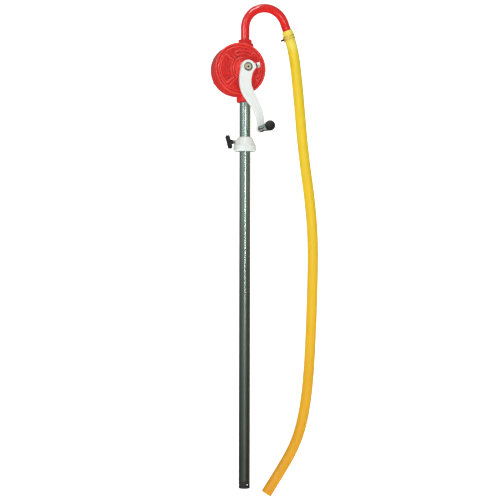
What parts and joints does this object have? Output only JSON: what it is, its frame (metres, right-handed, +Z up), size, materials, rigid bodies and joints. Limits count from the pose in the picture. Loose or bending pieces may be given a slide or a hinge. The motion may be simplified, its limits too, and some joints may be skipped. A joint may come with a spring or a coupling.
{
  "type": "rotary hand transfer pump",
  "caption": "Rotary vane hand pump for a drum: eccentric cast pump head with a side crank, suction tube through a conical bung adaptor, gooseneck spout and hanging delivery hose.",
  "frame": {"origin": "on the suction tube's axis, in the plane where the bung adaptor's drum thread begins under the cone", "axes": "+Z up along the suction tube, -Y the side the crank is on, +X the side the spout and hose are on"},
  "size_m": [0.2781, 0.1955, 1.2526],
  "materials": {
    "red_paint": "gloss enamel on casting",
    "spout_paint": "smooth gloss enamel",
    "crank_paint": "semi-gloss white powder coat",
    "adaptor_paint": "semi-gloss white powder coat",
    "tube_steel": "drawn steel tube, satin",
    "zinc_screw": "bright zinc plate",
    "dark_screw": "oiled dark steel",
    "gold_zinc": "yellow passivated zinc",
    "black_plastic": "glossy moulded plastic",
    "knob_plastic": "fine grained moulded plastic",
    "foot_plastic": "matte moulded plastic",
    "hose_yellow": "soft PVC, satin",
    "bronze": "machined bronze",
    "nylon": "natural nylon",
    "vane_plastic": "pressed carbon-filled plastic",
    "grey_iron": "machined grey iron",
    "packing": "graphited packing",
    "seal_rubber": "nitrile rubber",
    "gasket_fibre": "gasket fibre",
    "shaft_steel": "ground steel",
    "spring_steel": "spring steel"
  },
  "bodies": {
    "bung_adaptor": {"bung_adaptor": "adaptor_paint"},
    "seal_ring": {"tube_seal_ring": "seal_rubber"},
    "pump": {"suction_tube": "tube_steel", "suction_foot": "foot_plastic", "foot_screen": "shaft_steel", "pump_casing": "red_paint", "rear_cover": "red_paint", "rear_cover_gasket": "gasket_fibre", "rear_cover_screws": "zinc_screw", "front_shaft_bush": "bronze", "rear_shaft_bush": "bronze", "shaft_packing": "packing", "gland_nut": "red_paint", "inlet_seal": "seal_rubber", "gooseneck_spout": "spout_paint", "spout_lock_nut": "spout_paint", "spout_gasket": "gasket_fibre", "delivery_hose": "hose_yellow", "hose_clamp": "gold_zinc", "hose_clamp_nut": "gold_zinc", "hose_clamp_screw": "dark_screw"},
    "crank_and_rotor": {"rotor": "grey_iron", "pump_shaft": "shaft_steel", "rotor_key": "shaft_steel", "crank_arm": "crank_paint", "crank_set_bolt": "zinc_screw", "handle_spindle": "shaft_steel", "spindle_nut": "zinc_screw", "spindle_washer": "zinc_screw", "upper_vane_springs": "spring_steel", "lower_vane_springs": "spring_steel"},
    "upper_vane": {"upper_vane": "vane_plastic"},
    "lower_vane": {"lower_vane": "vane_plastic"},
    "handle": {"handle_grip": "black_plastic", "handle_end_cap": "black_plastic"},
    "lock_pad": {"lock_screw_pad": "nylon"},
    "lock_screw": {"lock_screw": "zinc_screw", "wing_knob": "knob_plastic", "wing_knob_insert": "zinc_screw"}
  },
  "joints": [
    {"name": "swivel", "type": "hinge", "parent": "bung_adaptor", "child": "seal_ring", "pos_m": [0, 0, 0.017], "axis": [0, 0, 1], "continuous": true},
    {"name": "height", "type": "slide", "parent": "seal_ring", "child": "pump", "axis": [0, 0, 1], "range_m": [-0.084, 0.8]},
    {"name": "crank_turn", "type": "hinge", "parent": "pump", "child": "crank_and_rotor", "pos_m": [-0.008, 0, 0.1915], "axis": [0, 1, 0], "continuous": true},
    {"name": "grip_spin", "type": "hinge", "parent": "crank_and_rotor", "child": "handle", "pos_m": [0.024, -0.11, 0.038], "axis": [0, 1, 0], "continuous": true},
    {"name": "upper_vane_slide", "type": "slide", "parent": "crank_and_rotor", "child": "upper_vane", "axis": [0, 0, 1], "range_m": [0, 0.009], "deforming": ["upper_vane_springs"]},
    {"name": "lower_vane_slide", "type": "slide", "parent": "crank_and_rotor", "child": "lower_vane", "axis": [0, 0, -1], "range_m": [0, 0.009], "deforming": ["lower_vane_springs"]},
    {"name": "lock_pad_slide", "type": "slide", "parent": "bung_adaptor", "child": "lock_pad", "axis": [-0.9848, -0.1736, 0], "range_m": [0, 0.0025]},
    {"name": "knob_turn", "type": "hinge", "parent": "lock_pad", "child": "lock_screw", "pos_m": [0, 0, 0.0085], "axis": [-0.9848, -0.1736, 0], "range_deg": [0, 720]}
  ],
  "couplings": [
    {"joint": "knob_turn", "follows": "lock_pad_slide", "rad_per_m": 5026.5}
  ]
}
